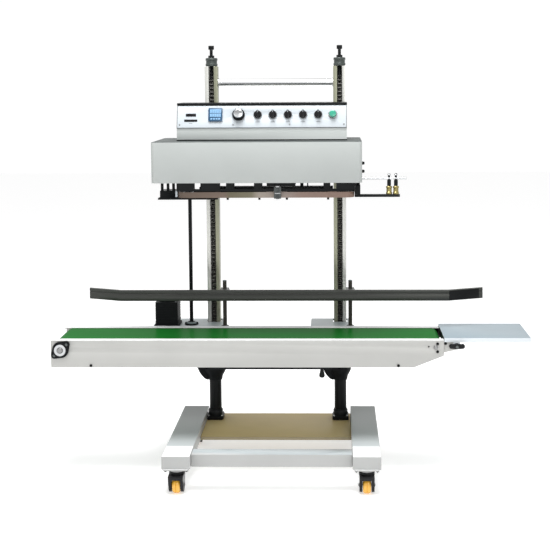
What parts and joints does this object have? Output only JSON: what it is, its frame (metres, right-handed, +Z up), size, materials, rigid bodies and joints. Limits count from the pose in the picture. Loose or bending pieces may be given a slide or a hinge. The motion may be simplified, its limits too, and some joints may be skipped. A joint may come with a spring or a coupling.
{
  "type": "continuous band sealer",
  "caption": "Free-standing vertical continuous band sealer: belt conveyor, bag guide rail and height-adjustable sealing head on a wheeled column frame.",
  "frame": {"origin": "centre of the machine's bounding box, on the floor", "axes": "+Z up, +X along the conveyor towards the infeed tray, -Y towards the operator"},
  "size_m": [1.453, 0.545, 1.325],
  "materials": {
    "painted_frame": "semi-gloss light grey enamel",
    "painted_casing": "satin grey powder coat",
    "board": "matt tan board",
    "black_metal": "semi-gloss black",
    "black_casting": "black painted casting",
    "column_metal": "anodised",
    "chain_steel": "oiled steel",
    "bar_chrome": "polished",
    "roller_steel": "turned",
    "castor_body": "black",
    "castor_tread": "amber polyurethane",
    "belt_green": "smooth PVC belt",
    "guide_metal": "dark anodised",
    "tray_metal": "pale blue-grey enamel",
    "seal_band": "coated band",
    "wheel_metal": "turned",
    "brass_roller": "turned",
    "panel_white": "satin white",
    "display": "blue-grey",
    "control_black": "black",
    "button_green": "green lens",
    "inlet_black": "black"
  },
  "bodies": {
    "frame": {"rail_left": "painted_frame", "rail_right": "painted_frame", "cross_bar_front": "painted_frame", "base_plate": "board", "column_tube_left": "black_metal", "column_tube_right": "black_metal", "column_channel_left": "column_metal", "column_channel_right": "column_metal", "lift_chain_left": "chain_steel", "lift_chain_right": "chain_steel", "top_handle_bar": "bar_chrome"},
    "conveyor": {"conveyor_side_front": "painted_casing", "conveyor_side_rear": "painted_casing", "belt_bed": "roller_steel", "conveyor_belt": "belt_green", "flange_bearing": "black_casting", "conveyor_support": "black_casting", "deck_plate": "painted_casing", "gear_motor": "black_metal", "tray_bracket": "painted_casing"},
    "head": {"head_cover": "painted_casing", "head_plate": "black_metal", "seal_band_front": "seal_band", "seal_band_rear": "seal_band", "seal_jaw_front": "black_metal", "seal_jaw_rear": "black_metal", "infeed_guide": "black_metal", "control_box": "painted_casing", "power_inlet": "inlet_black", "control_panel": "panel_white", "display_unit": "display"},
    "guide": {"guide_rail": "guide_metal"},
    "tray": {"infeed_tray": "tray_metal"},
    "drive_roller_body": {"drive_roller": "roller_steel"},
    "idler_roller_body": {"idler_roller": "roller_steel"},
    "drive_shaft_body": {"drive_shaft": "black_metal"},
    "clamp_lever_body": {"clamp_lever": "black_metal"},
    "tray_knob_body": {"tray_knob": "black_metal"},
    "band_wheel_front_left_body": {"band_wheel_front_left": "wheel_metal"},
    "band_wheel_front_right_body": {"band_wheel_front_right": "wheel_metal"},
    "band_wheel_rear_left_body": {"band_wheel_rear_left": "wheel_metal"},
    "band_wheel_rear_right_body": {"band_wheel_rear_right": "wheel_metal"},
    "press_roller_body": {"press_roller": "wheel_metal"},
    "infeed_roller_left_body": {"infeed_roller_left": "brass_roller"},
    "infeed_roller_right_body": {"infeed_roller_right": "brass_roller"},
    "speed_knob_body": {"speed_knob": "control_black"},
    "start_button_body": {"start_button": "button_green"},
    "selector_switch_1_body": {"selector_switch_1": "control_black"},
    "selector_switch_2_body": {"selector_switch_2": "control_black"},
    "selector_switch_3_body": {"selector_switch_3": "control_black"},
    "selector_switch_4_body": {"selector_switch_4": "control_black"},
    "selector_switch_5_body": {"selector_switch_5": "control_black"},
    "castor_swivel_front_left": {"castor_fork_front_left": "castor_body"},
    "castor_roll_front_left": {"castor_wheel_front_left": "castor_tread"},
    "castor_swivel_front_right": {"castor_fork_front_right": "castor_body"},
    "castor_roll_front_right": {"castor_wheel_front_right": "castor_tread"},
    "castor_swivel_rear_left": {"castor_fork_rear_left": "castor_body"},
    "castor_roll_rear_left": {"castor_wheel_rear_left": "castor_tread"},
    "castor_swivel_rear_right": {"castor_fork_rear_right": "castor_body"},
    "castor_roll_rear_right": {"castor_wheel_rear_right": "castor_tread"}
  },
  "joints": [
    {"name": "castor_swivel_front_left", "type": "hinge", "parent": "frame", "child": "castor_swivel_front_left", "pos_m": [-0.33125, -0.2315, 0.07], "axis": [0, 0, 1], "continuous": true},
    {"name": "castor_roll_front_left", "type": "hinge", "parent": "castor_swivel_front_left", "child": "castor_roll_front_left", "pos_m": [-0.33125, -0.2435, 0.025], "axis": [1, 0, 0], "continuous": true},
    {"name": "castor_swivel_front_right", "type": "hinge", "parent": "frame", "child": "castor_swivel_front_right", "pos_m": [0.22925, -0.2315, 0.07], "axis": [0, 0, 1], "continuous": true},
    {"name": "castor_roll_front_right", "type": "hinge", "parent": "castor_swivel_front_right", "child": "castor_roll_front_right", "pos_m": [0.22925, -0.2435, 0.025], "axis": [1, 0, 0], "continuous": true},
    {"name": "castor_swivel_rear_left", "type": "hinge", "parent": "frame", "child": "castor_swivel_rear_left", "pos_m": [-0.33125, 0.2365, 0.07], "axis": [0, 0, 1], "continuous": true},
    {"name": "castor_roll_rear_left", "type": "hinge", "parent": "castor_swivel_rear_left", "child": "castor_roll_rear_left", "pos_m": [-0.33125, 0.2245, 0.025], "axis": [1, 0, 0], "continuous": true},
    {"name": "castor_swivel_rear_right", "type": "hinge", "parent": "frame", "child": "castor_swivel_rear_right", "pos_m": [0.22925, 0.2365, 0.07], "axis": [0, 0, 1], "continuous": true},
    {"name": "castor_roll_rear_right", "type": "hinge", "parent": "castor_swivel_rear_right", "child": "castor_roll_rear_right", "pos_m": [0.22925, 0.2245, 0.025], "axis": [1, 0, 0], "continuous": true},
    {"name": "conveyor_height", "type": "slide", "parent": "frame", "child": "conveyor", "axis": [0, 0, 1], "range_m": [-0.09, 0.05]},
    {"name": "head_height", "type": "slide", "parent": "frame", "child": "head", "axis": [0, 0, 1], "range_m": [-0.15, 0.1]},
    {"name": "guide_height", "type": "slide", "parent": "conveyor", "child": "guide", "axis": [0, 0, 1], "range_m": [-0.06, 0.02]},
    {"name": "tray_fold", "type": "hinge", "parent": "conveyor", "child": "tray", "pos_m": [0.5035, -0.015, 0.411], "axis": [0, 1, 0], "range_deg": [0, 85]},
    {"name": "tray_knob_turn", "type": "hinge", "parent": "conveyor", "child": "tray_knob_body", "pos_m": [0.5035, -0.1305, 0.411], "axis": [0, 1, 0], "continuous": true},
    {"name": "clamp_lever_turn", "type": "hinge", "parent": "conveyor", "child": "clamp_lever_body", "pos_m": [0.0935, 0.1935, 0.3], "axis": [0, 1, 0], "range_deg": [-15, 75]},
    {"name": "drive_shaft_spin", "type": "hinge", "parent": "conveyor", "child": "drive_shaft_body", "pos_m": [-0.331, 0.1545, 0.7], "axis": [0, 0, 1], "continuous": true},
    {"name": "drive_roller_spin", "type": "hinge", "parent": "conveyor", "child": "drive_roller_body", "pos_m": [-0.696, -0.015, 0.4], "axis": [0, 1, 0], "continuous": true},
    {"name": "idler_roller_spin", "type": "hinge", "parent": "conveyor", "child": "idler_roller_body", "pos_m": [0.4405, -0.015, 0.406], "axis": [0, 1, 0], "continuous": true},
    {"name": "band_wheel_front_left_spin", "type": "hinge", "parent": "head", "child": "band_wheel_front_left_body", "pos_m": [-0.3155, -0.03465, 0.88], "axis": [0, 0, 1], "continuous": true},
    {"name": "band_wheel_front_right_spin", "type": "hinge", "parent": "head", "child": "band_wheel_front_right_body", "pos_m": [0.1705, -0.03465, 0.88], "axis": [0, 0, 1], "continuous": true},
    {"name": "band_wheel_rear_left_spin", "type": "hinge", "parent": "head", "child": "band_wheel_rear_left_body", "pos_m": [-0.3155, 0.01965, 0.88], "axis": [0, 0, 1], "continuous": true},
    {"name": "band_wheel_rear_right_spin", "type": "hinge", "parent": "head", "child": "band_wheel_rear_right_body", "pos_m": [0.1705, 0.01965, 0.88], "axis": [0, 0, 1], "continuous": true},
    {"name": "press_roller_spin", "type": "hinge", "parent": "head", "child": "press_roller_body", "pos_m": [-0.0355, -0.0732, 0.87], "axis": [0, 0, 1], "continuous": true},
    {"name": "infeed_roller_left_spin", "type": "hinge", "parent": "head", "child": "infeed_roller_left_body", "pos_m": [0.3045, -0.0185, 0.868], "axis": [0, 0, 1], "continuous": true},
    {"name": "infeed_roller_right_spin", "type": "hinge", "parent": "head", "child": "infeed_roller_right_body", "pos_m": [0.3255, -0.0185, 0.868], "axis": [0, 0, 1], "continuous": true},
    {"name": "speed_knob_turn", "type": "hinge", "parent": "head", "child": "speed_knob_body", "pos_m": [-0.156, -0.01342, 1.10557], "axis": [0, -0.9397, 0.342], "range_deg": [-135, 135]},
    {"name": "selector_1_turn", "type": "hinge", "parent": "head", "child": "selector_switch_1_body", "pos_m": [-0.0975, -0.01342, 1.10557], "axis": [0, -0.9397, 0.342], "range_deg": [-45, 45]},
    {"name": "selector_2_turn", "type": "hinge", "parent": "head", "child": "selector_switch_2_body", "pos_m": [-0.0512, -0.01342, 1.10557], "axis": [0, -0.9397, 0.342], "range_deg": [-45, 45]},
    {"name": "selector_3_turn", "type": "hinge", "parent": "head", "child": "selector_switch_3_body", "pos_m": [-0.0049, -0.01342, 1.10557], "axis": [0, -0.9397, 0.342], "range_deg": [-45, 45]},
    {"name": "selector_4_turn", "type": "hinge", "parent": "head", "child": "selector_switch_4_body", "pos_m": [0.0414, -0.01342, 1.10557], "axis": [0, -0.9397, 0.342], "range_deg": [-45, 45]},
    {"name": "selector_5_turn", "type": "hinge", "parent": "head", "child": "selector_switch_5_body", "pos_m": [0.0877, -0.01342, 1.10557], "axis": [0, -0.9397, 0.342], "range_deg": [-45, 45]},
    {"name": "start_button_press", "type": "slide", "parent": "head", "child": "start_button_body", "axis": [0, 0.9397, -0.342], "range_m": [0, 0.0035], "stiffness_N_per_m": 400, "springref_m": -0.002}
  ],
  "couplings": [
    {"joint": "drive_roller_spin", "follows": "drive_shaft_spin", "ratio": -0.5096},
    {"joint": "idler_roller_spin", "follows": "drive_shaft_spin", "ratio": -0.6625},
    {"joint": "band_wheel_front_left_spin", "follows": "drive_shaft_spin", "ratio": 0.5},
    {"joint": "band_wheel_front_right_spin", "follows": "drive_shaft_spin", "ratio": 0.5},
    {"joint": "band_wheel_rear_left_spin", "follows": "drive_shaft_spin", "ratio": -0.5},
    {"joint": "band_wheel_rear_right_spin", "follows": "drive_shaft_spin", "ratio": -0.5},
    {"joint": "press_roller_spin", "follows": "drive_shaft_spin", "ratio": -1.18}
  ]
}
